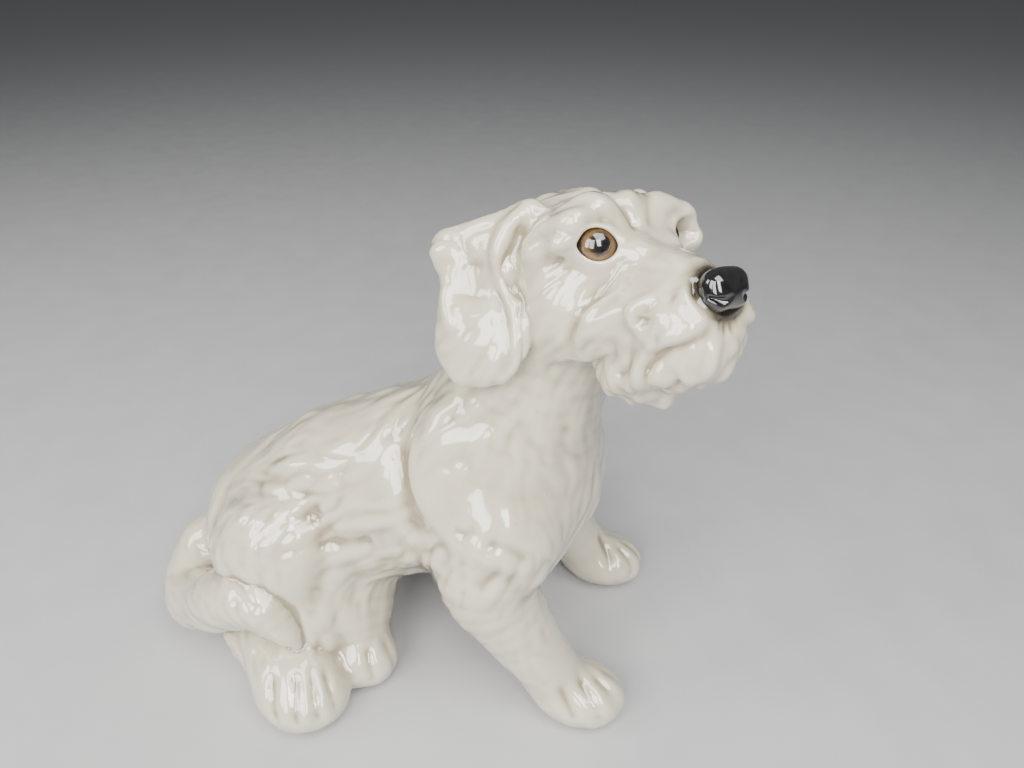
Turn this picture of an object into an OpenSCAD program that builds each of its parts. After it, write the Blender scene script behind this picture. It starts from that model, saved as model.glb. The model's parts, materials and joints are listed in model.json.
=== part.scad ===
// Seated puppy figurine: slip-cast earthenware castings luted together with slip and glazed.
// +Z is up, the chest faces -Y, the tail end is +Y and the dog's right side is -X.
// The origin is on the table under the middle of the figure. All sizes are in millimetres.

/* [Torso] */
// Sideways place of the chest's middle
chest_x = 14.5; // [0:0.5:28]
// Fore and aft place of the chest's middle
chest_y = -47; // [-60:1:-30]
// Height of the chest's middle above the table
chest_height = 105; // [85:1:125]
// Width of the chest across the shoulders
chest_width = 92; // [70:1:112]
// Depth of the chest from brisket to spine
chest_depth = 90; // [70:1:110]
// Distance from the chest's middle back to the rump's middle
body_length = 118; // [95:1:145]
// How far the rump swings to the dog's left of the chest
rump_swing = 3; // [-6:1:12]
// Height of the rump's middle above the table
rump_height = 50; // [40:1:62]
// Width of the rump across the hips
rump_width = 92; // [75:1:112]
// Length of the rump
rump_length = 92; // [75:1:112]
// How far the rump's underside is flattened by the table, over and under together
seat_flat = 5; // [3:1:9]
// Width of the rib cage and loin
rib_width = 87; // [70:1:105]
// Height of the rib cage
rib_depth = 95; // [75:1:115]
// Height of the rib cage's middle above the table
rib_height = 97; // [80:1:115]
// Height of the loin's middle above the table
loin_height = 77; // [60:1:95]

/* [Neck] */
// Height of the neck's top above the chest's middle
neck_rise = 85; // [68:1:102]
// How far the neck's top leans forward of the chest's middle
neck_lean = 22; // [10:1:34]
// Thickness of the neck at its base
neck_base_d = 84; // [68:1:100]
// Thickness of the neck halfway up
neck_mid_d = 66; // [54:1:80]
// Thickness of the neck under the skull
neck_top_d = 56; // [46:1:68]
// Height above the chest's middle at which head and torso castings meet
neck_joint = 79; // [66:1:92]

/* [Head] */
// Turn of the head to the dog's right, in degrees
head_turn = 40; // [0:1:60]
// Lift of the muzzle, in degrees
head_lift = 17; // [0:1:35]
// Lean of the crown to the dog's left, in degrees
head_roll = 7; // [-10:1:15]
// Skull's middle forward of the neck's top
head_forward = 12; // [4:1:22]
// Skull's middle above the neck's top
head_rise = 23.5; // [14:0.5:32]
// Width of the skull
skull_width = 62; // [50:1:75]
// Length of the skull
skull_length = 66; // [54:1:80]
// Height of the skull
skull_height = 61; // [50:1:74]
// Distance from the skull's middle to the front of the muzzle's core
muzzle_reach = 56; // [44:1:70]
// Thickness of the muzzle behind the nose
muzzle_d = 27; // [22:1:34]
// Width of the hanging lips
lip_width = 40; // [32:1:48]
// Width of the beard under the chin
beard_width = 32; // [25:1:40]
// Drop of the beard's middle below the skull's middle
beard_drop = 31; // [24:1:38]
// Thickness of the brow tufts
brow_d = 12.5; // [9:0.5:16]

/* [Ears] */
// Hanging length of an ear from its fold to its tip
ear_length = 40; // [30:1:50]
// Width of the ear's lobe
ear_width = 36; // [28:1:44]
// Thickness of an ear
ear_thickness = 12; // [8:1:16]
// How far the ears swing out from the side of the head, in degrees
ear_flare = 27; // [15:1:40]

/* [Face] */
// Width across the painted eyeball in its socket
eye_d = 15.5; // [12:0.5:19]
// Width of the painted pupil
pupil_d = 7; // [5:0.5:9]
// Spacing of the two eyes, middle to middle
eye_spacing = 39; // [32:1:46]
// Height of the eyes above the skull's middle
eye_rise = 11.5; // [8:0.5:15]
// Width of the nose
nose_width = 19; // [15:0.5:23]
// Height of the nose
nose_height = 17; // [13:0.5:21]

/* [Forelegs] */
// Spacing of the two shoulders, middle to middle
shoulder_spacing = 68; // [54:1:82]
// Thickness of the upper foreleg
foreleg_top_d = 54; // [44:1:64]
// Thickness of the elbow
elbow_d = 43; // [35:1:52]
// Thickness of the foreleg above the paw
pastern_d = 30; // [24:1:36]
// Spacing of the two fore paws, middle to middle
fore_paw_spacing = 91; // [74:1:108]
// How far the fore paws reach forward of the chest's middle
fore_paw_reach = 47; // [36:1:58]
// Width of a fore paw
fore_paw_width = 35; // [28:1:42]
// Length of a fore paw
fore_paw_length = 46; // [38:1:55]

/* [Hindlegs] */
// Length of the right thigh's bulge
thigh_length = 70; // [56:1:84]
// Height of the right thigh's bulge
thigh_height = 80; // [64:1:96]
// How far the right thigh's middle stands out from the rump's middle
thigh_out = 41; // [34:1:48]
// Thickness of the right shank lying on the table
shank_d = 29; // [23:1:35]
// Width of the right hind paw
hind_paw_width = 37; // [30:1:44]
// How far the right hind paw reaches out from the rump's middle
hind_paw_out = 76; // [64:1:88]
// Thickness of the left thigh where it leaves the groin
left_thigh_d = 54; // [44:1:64]
// Width of the left hind paw
left_paw_width = 30; // [24:1:36]

/* [Tail] */
// Thickness of the tail at its root
tail_d = 32; // [26:1:38]
// How far the tail stands out behind the rump's middle
tail_back = 52; // [42:1:62]
// Distance of the tail's pointed tip out from the rump's middle
tail_tip_out = 67; // [60:1:72]
// Height of the tail's middle where it lies over the right thigh
tail_over_thigh = 52; // [44:1:58]

/* [Casting] */
// Thickness of the cast wall
wall = 4.5; // [3.5:0.5:6.5]
// Thickness of the bead of slip in every joint
slip = 1; // [0.6:0.1:1.6]
// Width of the vent hole in the belly
vent_d = 12; // [8:1:16]
// Gap around the nose and eyes before the glaze closes it
paint_gap = 0.15; // [0.1:0.05:0.3]

/* [Hidden] */
torso_facets = 24;
head_facets = 18;
limb_facets = 18;
toe_facets = 12;
plane = 600;

chest = [chest_x, chest_y, chest_height];
rump = [chest_x + rump_swing, chest_y + body_length, rump_height];
neck_top = chest + [-3, -neck_lean, neck_rise];
skull = neck_top + [1, -head_forward, head_rise];
joint_z = chest_height + neck_joint;

// A station is a middle and three half-widths: [x, y, z, rx, ry, rz].
function station(at, size) = [at[0], at[1], at[2], size[0] / 2, size[1] / 2, size[2] / 2];
function round_station(at, d) = station(at, [d, d, d]);
function clamped(s, i) = s[max(0, min(len(s) - 1, i))];
function bend(a, b, c, d, t) =
    0.5 * (2 * b + (c - a) * t + (2 * a - 5 * b + 4 * c - d) * t * t
    + (3 * b - a - 3 * c + d) * t * t * t);
function along(s, i, t) =
    bend(clamped(s, i - 1), s[i], clamped(s, i + 1), clamped(s, i + 2), t);

torso_line = [
    station(rump, [rump_width, rump_length, 2 * rump_height + seat_flat]),
    station([chest_x + 1, chest_y + body_length * 0.68, loin_height], [rib_width + 1, 88, 100]),
    station([chest_x, chest_y + body_length * 0.34, rib_height], [rib_width, 88, rib_depth]),
    station(chest, [chest_width, chest_depth, 98]),
    round_station(chest + [0, -2, 23], neck_base_d),
    round_station(chest + [-2, -13, 55], neck_mid_d),
    round_station(neck_top, neck_top_d)
];

muzzle_line = [
    station([0, 3, 2], [skull_width, skull_length, skull_height]),
    station([0, -15, 5], [skull_width - 9, 36, 38]),
    round_station([0, -muzzle_reach * 0.66, -5], muzzle_d + 8),
    round_station([0, -muzzle_reach, -6], muzzle_d)
];

function brow_line(d) = [
    round_station([-5, -28, 17], d - 2),
    round_station([-14, -29, 18], d),
    round_station([-24, -21, 15], d - 1)
];

ear_root = skull_width / 2 - 6;
ear_line = [
    station([-ear_root, 13, 22], [ear_thickness - 2, 16, 15]),
    station([-ear_root - 3, 27, 14], [ear_thickness, ear_width - 9, 17]),
    station([-ear_root - 6, 33, 2], [ear_thickness, ear_width - 4, 26]),
    station([-ear_root - 8, 33, 18 - ear_length * 0.75], [ear_thickness, ear_width - 4, 30]),
    station([-ear_root - 9, 31, 18 - ear_length], [ear_thickness - 1, ear_width, 33])
];

elbow_z = chest_height - 28;

// side is -1 for the dog's right and 1 for its left
function paw_at(side) = [chest_x + 3.5 + side * fore_paw_spacing / 2, chest_y - fore_paw_reach, 12];
function foreleg_line(side) = [
    round_station(chest + [side * shoulder_spacing / 2, -6, -5], foreleg_top_d),
    round_station([chest_x + side * (shoulder_spacing / 2 + 6.5), chest_y - 3, elbow_z], elbow_d),
    round_station([paw_at(side)[0] - side * 2, chest_y - 19, (elbow_z + 21) / 2],
        (elbow_d + pastern_d) / 2 - 3),
    round_station(paw_at(side) + [-side * 1, 16, 15], pastern_d)
];

thigh = rump + [-thigh_out, -14, 8];
hind_paw = [rump[0] - hind_paw_out, rump[1] - 36, 13];
shank_line = [
    round_station([rump[0] - 55, rump[1] + 3, 15], shank_d - 3),
    round_station([rump[0] - 62, rump[1] - 10, 16], shank_d - 1),
    round_station(hind_paw + [5, 12, 3], shank_d + 3)
];
knee_line = [
    round_station(thigh + [-6, -18, -24], shank_d + 6),
    round_station([rump[0] - 57, rump[1] - 30, 23], shank_d + 2),
    round_station(hind_paw + [5, 3, 4], shank_d)
];
left_paw = [rump[0] - 50, rump[1] - 56, 12];
left_leg_line = [
    round_station([rump[0] - 13, rump[1] - 30, 46], left_thigh_d),
    round_station([rump[0] - 29, rump[1] - 42, 36], left_thigh_d - 11),
    round_station(left_paw + [7, 6, 8], left_paw_width)
];
tail_line = [
    round_station([rump[0] - 3, rump[1] + rump_length / 2 - 8, 40], tail_d),
    round_station([rump[0] - 15, rump[1] + tail_back, 28], tail_d),
    round_station([rump[0] - 36, rump[1] + tail_back - 6, 19], tail_d + 1),
    round_station([rump[0] - 46, rump[1] + 28, 28], tail_d),
    round_station([rump[0] - 56, rump[1] + 8, tail_over_thigh - 6], tail_d - 2),
    round_station([rump[0] - 61, rump[1] - 11, tail_over_thigh], tail_d - 5),
    round_station([rump[0] - tail_tip_out + 1, rump[1] - 25, tail_over_thigh - 9], tail_d - 18),
    round_station([rump[0] - tail_tip_out, rump[1] - 31, tail_over_thigh - 16], 5)
];

// One rounded lump of clay, swelled by grow on every side.
module lump(s, grow = 0, n = limb_facets)
    translate([s[0], s[1], s[2]])
        scale([s[3] + grow, s[4] + grow, s[5] + grow])
            sphere(r = 1, $fn = n);

// A smooth roll of clay through a line of stations.
module roll(line, grow = 0, steps = 2, n = limb_facets)
    for (i = [0:len(line) - 2], j = [0:steps - 1])
        hull() {
            lump(along(line, i, j / steps), grow, n);
            lump(along(line, i, (j + 1) / steps), grow, n);
        }

module above(z)
    translate([-plane / 2, -plane / 2, z])
        cube([plane, plane, plane]);

module above_table()
    above(0);

module in_head()
    translate(skull)
        rotate([0, 0, -head_turn])
            rotate([-head_lift, 0, 0])
                rotate([0, head_roll, 0])
                    children();

// The dog's right side is built; its left side is the mirror image.
module both_sides()
    for (side = [0, 1])
        mirror([side, 0, 0])
            children();

module in_ear()
    rotate([0, 0, ear_flare])
        children();

module in_eye()
    translate([-eye_spacing / 2, -29, eye_rise])
        rotate([0, 0, -40])
            rotate([75, 0, 0])
                children();

// Four toes fanned across the front of a paw that points along heading.
module toes(at, heading, width, reach, grow = 0)
    translate([at[0], at[1], 0])
        rotate([0, 0, heading])
            for (i = [-1.5:1:1.5])
                hull() {
                    lump([i * width * 0.23, -reach + abs(i) * 2.5, 9, width * 0.15, 7, 8.5], grow, toe_facets);
                    lump([i * width * 0.18, -reach * 0.3, 11, width * 0.15, 8, 10], grow, toe_facets);
                }

module torso_form(grow = 0)
    roll(torso_line, grow, 2, torso_facets);

module head_form(grow = 0)
    in_head() {
        roll(muzzle_line, grow, 2, head_facets);
        lump(station([0, -40, -19], [lip_width, 40, 30]), grow, limb_facets);
        lump(station([0, -34, -beard_drop + 1], [beard_width, 36, 22]), grow, limb_facets);
        both_sides() {
            roll(brow_line(brow_d), grow, 1, toe_facets);
            lump(station([9 - skull_width / 2, -8, -12], [24, 36, 34]), grow, limb_facets);
            lump(station([-11, -50, -14], [22, 28, 26]), grow, limb_facets);
        }
    }

// The head casting with the stub of neck that belongs to it.
module head_block(grow = 0) {
    head_form(grow);
    intersection() {
        torso_form(grow);
        above(joint_z);
    }
}

module ear_form(grow = 0)
    in_ear() {
        roll(ear_line, grow, 2, limb_facets);
        hull() {
            lump(along(ear_line, 1, 0), grow, limb_facets);
            lump(station([-ear_root - 4.5, 38, 11], [ear_thickness - 2, 19, 18]), grow, limb_facets);
            lump(along(ear_line, 2, 0), grow, limb_facets);
        }
    }

module foreleg_form(side, grow = 0) {
    roll(foreleg_line(side), grow, 2, limb_facets);
    lump(station(paw_at(side), [fore_paw_width - 2, fore_paw_length, 27]), grow, limb_facets);
    toes(paw_at(side), side * 8 + 4 * (side - 1), fore_paw_width, fore_paw_length * 0.42, grow);
}

module foreleg_bore(side)
    roll(foreleg_line(side), -wall, 2, toe_facets);

module right_hindleg_form(grow = 0) {
    lump(station(thigh, [46, thigh_length, thigh_height]), grow, torso_facets);
    roll(shank_line, grow, 2, limb_facets);
    roll(knee_line, grow, 2, limb_facets);
    lump(station(hind_paw, [hind_paw_width, 42, 29]), grow, limb_facets);
    toes(hind_paw, -48, hind_paw_width, 17, grow);
}

module left_hindleg_form(grow = 0) {
    roll(left_leg_line, grow, 2, limb_facets);
    lump(station(left_paw, [left_paw_width, 33, 26]), grow, limb_facets);
    toes(left_paw, -30, left_paw_width, 14, grow);
}

module tail_form(grow = 0)
    roll(tail_line, grow, 2, limb_facets);

module eye_form(grow = 0)
    rotate_extrude($fn = 48)
        intersection() {
            translate([0, -8])
                circle(r = 11 + grow, $fn = 96);
            translate([0, -4.5 - grow])
                square([eye_d / 2 + grow, 12 + 2 * grow]);
        }

// The flared opening between the lids that keeps the eye in view.
module lid_opening()
    translate([0, 0, -1])
        cylinder(d1 = eye_d, d2 = eye_d + 4, h = 12, $fn = 32);

module pupil_form(grow = 0)
    rotate_extrude($fn = 32)
        intersection() {
            translate([0, -8])
                difference() {
                    circle(r = 11.3 + grow, $fn = 96);
                    circle(r = 10.4 - grow, $fn = 96);
                }
            square([pupil_d / 2 + grow, 8]);
        }

module nose_form(grow = 0)
    hull()
        for (side = [-1, 1]) {
            lump([side * nose_width * 0.2, -65, -1, nose_width * 0.3, 8, nose_height * 0.42], grow, toe_facets);
            lump([side * nose_width * 0.08, -65, -5, nose_width * 0.3, 6.5, nose_height * 0.34], grow, toe_facets);
        }

module vent()
    translate([chest_x, chest_y + body_length * 0.44, rib_height - rib_depth / 2 - 6])
        cylinder(d = vent_d, h = 2 * wall + 14, $fn = 32);

module ear_against(grow) {
    head_block(grow);
    torso_form(grow);
}

module placed_ear(side)
    in_head()
        mirror([side, 0, 0])
            ear_form();

module torso()
    color([0.86, 0.83, 0.77])
        difference() {
            intersection() {
                torso_form();
                above_table();
            }
            intersection() {
                torso_form(-wall);
                above(wall);
            }
            above(joint_z - slip);
            foreleg_bore(-1);
            foreleg_bore(1);
            vent();
        }

module head()
    color([0.86, 0.83, 0.77])
        difference() {
            head_block();
            difference() {
                torso_form(paint_gap);
                above(joint_z);
            }
            torso_form(-wall);
            in_head()
                roll(muzzle_line, -wall, 2, toe_facets);
            in_head()
                nose_form(paint_gap);
            in_head()
                both_sides()
                    in_eye() {
                        eye_form(paint_gap);
                        lid_opening();
                    }
        }

module neck_slip()
    color([0.80, 0.77, 0.71])
        difference() {
            intersection() {
                torso_form();
                above(joint_z - slip);
            }
            above(joint_z);
            torso_form(-wall);
        }

module ear(side)
    color([0.86, 0.83, 0.77])
        difference() {
            placed_ear(side);
            ear_against(slip);
        }

module ear_slip(side)
    color([0.80, 0.77, 0.71])
        difference() {
            intersection() {
                placed_ear(side);
                ear_against(slip);
            }
            ear_against(0);
        }

module foreleg(side)
    color([0.86, 0.83, 0.77])
        difference() {
            intersection() {
                foreleg_form(side);
                above_table();
            }
            foreleg_bore(side);
            torso_form(slip);
        }

module foreleg_slip(side)
    color([0.80, 0.77, 0.71])
        difference() {
            intersection() {
                foreleg_form(side);
                torso_form(slip);
            }
            foreleg_bore(side);
            torso_form();
        }

// The tail lies over the right hindleg, and the left hindleg tucks in under it.
module hindleg_right()
    color([0.86, 0.83, 0.77])
        difference() {
            intersection() {
                right_hindleg_form();
                above_table();
            }
            torso_form(slip);
            tail_form(paint_gap);
        }

module hindleg_slip_right()
    color([0.80, 0.77, 0.71])
        difference() {
            intersection() {
                right_hindleg_form();
                torso_form(slip);
                above_table();
            }
            torso_form();
            tail_form(paint_gap);
        }

module hindleg_left()
    color([0.86, 0.83, 0.77])
        difference() {
            intersection() {
                left_hindleg_form();
                above_table();
            }
            torso_form(slip);
            right_hindleg_form(paint_gap);
        }

module hindleg_slip_left()
    color([0.80, 0.77, 0.71])
        difference() {
            intersection() {
                left_hindleg_form();
                torso_form(slip);
                above_table();
            }
            torso_form();
            right_hindleg_form(paint_gap);
        }

module tail()
    color([0.86, 0.83, 0.77])
        difference() {
            intersection() {
                tail_form();
                above_table();
            }
            torso_form(slip);
        }

module tail_slip()
    color([0.80, 0.77, 0.71])
        difference() {
            intersection() {
                tail_form();
                torso_form(slip);
                above_table();
                translate([rump[0] - tail_d + 8, 0, 0])
                    cube([plane, plane, plane]);
            }
            torso_form();
        }

module eye(side)
    color([0.52, 0.36, 0.18])
        in_head()
            mirror([side, 0, 0])
                in_eye()
                    difference() {
                        eye_form();
                        pupil_form(paint_gap / 3);
                    }

module pupil(side)
    color([0.04, 0.04, 0.05])
        in_head()
            mirror([side, 0, 0])
                in_eye()
                    pupil_form();

module nose()
    color([0.05, 0.05, 0.06])
        in_head()
            nose_form();

torso();
head();
ear(1);  // ear_left
ear(0);  // ear_right
foreleg(1);  // foreleg_left
foreleg(-1);  // foreleg_right
hindleg_left();
hindleg_right();
tail();
eye(1);  // eye_left
eye(0);  // eye_right
pupil(1);  // pupil_left
pupil(0);  // pupil_right
nose();
neck_slip();
ear_slip(1);  // ear_slip_left
ear_slip(0);  // ear_slip_right
foreleg_slip(1);  // foreleg_slip_left
foreleg_slip(-1);  // foreleg_slip_right
hindleg_slip_left();
hindleg_slip_right();
tail_slip();
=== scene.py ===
"""Looks for the seated puppy figurine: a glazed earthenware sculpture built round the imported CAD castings."""
import math

import bpy
import numpy as np
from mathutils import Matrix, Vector
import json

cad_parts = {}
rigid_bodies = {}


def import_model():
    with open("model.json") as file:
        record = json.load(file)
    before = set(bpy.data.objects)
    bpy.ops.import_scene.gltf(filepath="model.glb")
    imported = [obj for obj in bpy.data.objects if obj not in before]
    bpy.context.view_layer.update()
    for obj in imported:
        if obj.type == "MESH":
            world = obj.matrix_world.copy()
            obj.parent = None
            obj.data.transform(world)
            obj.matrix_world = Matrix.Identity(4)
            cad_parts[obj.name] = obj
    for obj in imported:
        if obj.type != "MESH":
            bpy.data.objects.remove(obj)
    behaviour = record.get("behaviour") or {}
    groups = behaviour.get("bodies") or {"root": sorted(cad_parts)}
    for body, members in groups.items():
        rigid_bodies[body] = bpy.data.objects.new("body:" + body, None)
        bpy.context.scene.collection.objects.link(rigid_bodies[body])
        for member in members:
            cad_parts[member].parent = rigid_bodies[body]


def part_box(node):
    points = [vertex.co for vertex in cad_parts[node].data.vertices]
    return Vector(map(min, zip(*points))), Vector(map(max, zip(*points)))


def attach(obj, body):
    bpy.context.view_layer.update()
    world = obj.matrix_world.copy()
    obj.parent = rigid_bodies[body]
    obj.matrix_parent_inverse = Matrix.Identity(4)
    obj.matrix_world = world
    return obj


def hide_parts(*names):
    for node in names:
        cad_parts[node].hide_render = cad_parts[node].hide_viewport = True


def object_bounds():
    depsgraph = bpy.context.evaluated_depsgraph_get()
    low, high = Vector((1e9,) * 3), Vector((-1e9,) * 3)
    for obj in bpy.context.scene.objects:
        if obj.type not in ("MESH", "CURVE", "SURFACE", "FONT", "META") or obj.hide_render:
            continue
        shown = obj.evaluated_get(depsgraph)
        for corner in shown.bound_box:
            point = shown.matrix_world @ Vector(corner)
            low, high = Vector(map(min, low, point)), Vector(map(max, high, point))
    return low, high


for leftover in list(bpy.data.objects):
    bpy.data.objects.remove(leftover)
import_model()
cad_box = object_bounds()
MM = 0.001
BODY_STEP = 1.35  # spacing of the modelling grid, in millimetres
HEAD_STEP = 0.84
NOSE_STEP = 0.4
FINE = 4  # stations between two points of a smooth path

# ---- places, all in millimetres


def spot(node, u, v, w):
    """The point at fractions u, v, w of a CAD node's box."""
    lo, hi = (np.array(corner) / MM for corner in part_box(node))
    return lo + np.array((u, v, w)) * (hi - lo)


def unit(v):
    v = np.asarray(v, float)
    return v / np.linalg.norm(v)


class Head:
    """The head's own axes: s to the dog's right, f forward, u up, worked out from the eyes and the nose."""

    NOSE_DROP = 0.333  # the nose leather lies this far below the eyes' level, in radians
    EYES = np.array((0, 27.5, 10.8))  # the middle between the eyes, forward of and above the skull's middle

    def __init__(self):
        right = spot("eye_right", 0.5, 0.5, 0.5)
        left = spot("eye_left", 0.5, 0.5, 0.5)
        eyes = (right + left) / 2
        side = unit(right - left)
        ahead = spot("nose", 0.5, 0.5, 0.5) - eyes
        ahead = unit(ahead - side * (ahead @ side))
        up = np.cross(ahead, -side)
        turn = self.NOSE_DROP
        self.axes = np.array([
            side,
            unit(ahead * math.cos(turn) + up * math.sin(turn)),
            unit(up * math.cos(turn) - ahead * math.sin(turn)),
        ])
        self.at = eyes - self.EYES @ self.axes

    def __call__(self, s, f, u):
        return self.at + np.array((s, f, u), float) @ self.axes

    def way(self, s, f, u):
        return unit(np.array((s, f, u), float) @ self.axes)


H = Head()


def on_side(side, *places):
    """Places on one side of the head: 1 for its right and -1 for its left."""
    return [H(side * s, f, u) for s, f, u in places]


chest = spot("torso", 0.481, 0.232, 0.574)
rump = spot("torso", 0.513, 0.786, 0.273)
neck_joint = spot("neck_slip", 0.5, 0.5, 1.0)[2]
paw_fr = spot("foreleg_right", 0.51, 0.275, 0.096)
paw_fl = spot("foreleg_left", 0.573, 0.275, 0.096)
paw_hr = spot("hindleg_right", 0.352, 0.30, 0.133)
paw_hl = spot("hindleg_left", 0.315, 0.393, 0.226)

# ---- clay


class Blob:
    """An ellipsoid. The rows of axes are its own directions."""

    def __init__(self, at, radii, axes=None):
        self.at = np.asarray(at, float)
        self.radii = np.asarray(radii, float) * np.ones(3)
        self.axes = np.eye(3) if axes is None else np.asarray(axes, float)
        reach = np.sqrt(((self.axes * self.radii[:, None]) ** 2).sum(0))
        self.lo, self.hi = self.at - reach, self.at + reach

    def __call__(self, x, y, z):
        x, y, z = x - self.at[0], y - self.at[1], z - self.at[2]
        own = [a[0] * x + a[1] * y + a[2] * z for a in self.axes]
        k0 = np.sqrt(sum((q / r) ** 2 for q, r in zip(own, self.radii)))
        k1 = np.sqrt(sum((q / r**2) ** 2 for q, r in zip(own, self.radii))) + 1e-9
        return np.where(k0 < 1e-3, -self.radii.min(), k0 * (k0 - 1) / k1)


class Roll:
    """A tapering roll through points, with a radius at each. flat=(direction, share) squeezes it."""

    def __init__(self, points, radii, flat=None):
        points = np.asarray(points, float)
        radii = np.asarray(radii, float) * np.ones(len(points))
        self.points, self.radii = smooth_path(points, radii, FINE if len(points) > 2 else 1)
        self.flat = None if flat is None else (unit(flat[0]), flat[1])
        r = self.radii[:, None]
        self.lo, self.hi = (self.points - r).min(0), (self.points + r).max(0)

    def __call__(self, x, y, z):
        best = None
        for a, b, ra, rb in zip(self.points[:-1], self.points[1:], self.radii[:-1], self.radii[1:]):
            ab = b - a
            ux, uy, uz = x - a[0], y - a[1], z - a[2]
            t = np.clip((ux * ab[0] + uy * ab[1] + uz * ab[2]) / (ab @ ab + 1e-12), 0, 1)
            ux, uy, uz = ux - t * ab[0], uy - t * ab[1], uz - t * ab[2]
            if self.flat is not None:
                n, share = self.flat
                c = (ux * n[0] + uy * n[1] + uz * n[2]) * (1 / share - 1)
                ux, uy, uz = ux + c * n[0], uy + c * n[1], uz + c * n[2]
            d = np.sqrt(ux * ux + uy * uy + uz * uz) - (ra + t * (rb - ra))
            best = d if best is None else np.minimum(best, d)
        return best if self.flat is None else best * min(1.0, self.flat[1] * 1.5)


def smooth_path(points, radii, fine):
    """Catmull-Rom stations through points and their radii."""
    q = np.column_stack([points, radii])
    if fine < 2:
        return q[:, :3], q[:, 3]
    q = np.vstack([2 * q[0] - q[1], q, 2 * q[-1] - q[-2]])
    out = []
    for a, b, c, d in zip(q, q[1:], q[2:], q[3:]):
        for t in np.arange(fine) / fine:
            bend, twist = 2 * a - 5 * b + 4 * c - d, 3 * b - a - 3 * c + d
            out.append(0.5 * (2 * b + (c - a) * t + bend * t**2 + twist * t**3))
    out = np.array([*out, q[-2]])
    return out[:, :3], np.maximum(out[:, 3], 0.05)


class Cut:
    """A shape that is taken out of the clay instead of being added."""

    def __init__(self, shape):
        self.shape = shape


def blend(a, b, k):
    """The union of two distances with a fillet about k wide."""
    if k <= 0:
        return np.minimum(a, b)
    h = np.maximum(k - np.abs(a - b), 0) / k
    return np.minimum(a, b) - h * h * k * 0.25


CORNERS = [(a, b, c) for a in (0, 1) for b in (0, 1) for c in (0, 1)]


def corner_shares(t):
    """The eight corners of a grid cell, and how much each counts at fractions t across it."""
    for a, b, c in CORNERS:
        share = (t[:, 0] if a else 1 - t[:, 0]) * (t[:, 1] if b else 1 - t[:, 1])
        yield a, b, c, share * (t[:, 2] if c else 1 - t[:, 2])


class Clay:
    """A box of signed distances on a grid, in which masses are joined and cut."""

    def __init__(self, lo, hi, step):
        self.step = step
        self.lo = np.asarray(lo, float)
        self.count = np.ceil((np.asarray(hi) - self.lo) / step).astype(int) + 1
        self.d = np.full(self.count, 40.0, np.float32)

    def block(self, shape, pad):
        """The part of the grid round a shape, and its coordinates."""
        a = np.clip(np.floor((shape.lo - pad - self.lo) / self.step).astype(int), 0, self.count - 1)
        b = np.clip(np.ceil((shape.hi + pad - self.lo) / self.step).astype(int) + 1, 1, self.count)
        where = tuple(slice(i, j) for i, j in zip(a, b))
        line = [(self.lo[k] + self.step * np.arange(a[k], b[k])).astype(np.float32) for k in range(3)]
        return where, line[0][:, None, None], line[1][None, :, None], line[2][None, None, :]

    def add(self, shape, k):
        where, x, y, z = self.block(shape, k + 6)
        if self.d[where].size:
            self.d[where] = blend(self.d[where], shape(x, y, z).astype(np.float32), k)

    def cut(self, shape, k):
        where, x, y, z = self.block(shape, k + 4)
        if self.d[where].size:
            self.d[where] = -blend(-self.d[where], shape(x, y, z).astype(np.float32), k)

    def floor(self, k):
        """Cuts the clay off flat at the table."""
        z = (self.lo[2] + self.step * np.arange(self.count[2])).astype(np.float32)[None, None, :]
        self.d = -blend(-self.d, z, k)

    def at(self, p):
        """The distance at points, read between the grid's values."""
        q = (np.asarray(p) - self.lo) / self.step
        i = np.clip(np.floor(q).astype(int), 0, self.count - 2)
        t = q - i
        out = 0
        for a, b, c, share in corner_shares(t):
            out = out + share * self.d[i[:, 0] + a, i[:, 1] + b, i[:, 2] + c]
        return out

    def slope(self, p):
        """How the distance changes at points."""
        g = np.stack([self.at(p + e) - self.at(p - e) for e in np.eye(3) * self.step], axis=1)
        return g / (2 * self.step)


def skin(clay):
    """Surface nets: one vertex in each cell that the surface crosses, and quads that join them."""
    d, solid = clay.d, clay.d < 0
    cells_n = np.array(d.shape) - 1
    inside = np.zeros(cells_n, np.uint8)
    for a, b, c in CORNERS:
        inside += solid[a:a + cells_n[0], b:b + cells_n[1], c:c + cells_n[2]]
    crossed = (inside > 0) & (inside < 8)
    number = np.full(cells_n, -1, np.int32)
    cells = np.argwhere(crossed)
    number[crossed] = np.arange(len(cells))
    value = {c: d[tuple((cells + c).T)].astype(float) for c in CORNERS}
    total, hits = np.zeros((len(cells), 3)), np.zeros(len(cells))
    for c in CORNERS:
        for axis in range(3):
            if c[axis] == 0:
                e = tuple(1 if k == axis else c[k] for k in range(3))
                crosses = (value[c] < 0) != (value[e] < 0)
                t = np.where(crosses, value[c] / np.where(crosses, value[c] - value[e], 1), 0)
                total += (np.array(c, float) + t[:, None] * np.eye(3)[axis]) * crosses[:, None]
                hits += crosses
    points = (cells + total / hits[:, None]) * clay.step + clay.lo
    quads = []
    for axis in range(3):
        near = solid[tuple(slice(0, -1) if k == axis else slice(1, -1) for k in range(3))]
        far = solid[tuple(slice(1, None) if k == axis else slice(1, -1) for k in range(3))]
        edge = np.argwhere(near != far)
        outward = near[near != far]
        u, v = [k for k in range(3) if k != axis]
        edge[:, [u, v]] += 1

        def cell(du, dv):
            at = edge.copy()
            at[:, u] -= du
            at[:, v] -= dv
            return number[tuple(at.T)]

        quad = np.stack([cell(1, 1), cell(0, 1), cell(0, 0), cell(1, 0)], axis=1)
        if axis == 1:
            outward = ~outward
        quad[~outward] = quad[~outward][:, ::-1]
        quads.append(quad)
    return points, np.concatenate(quads)


# ---- masses of the sculpture

SIDES = {"right": 1, "left": -1}


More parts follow.
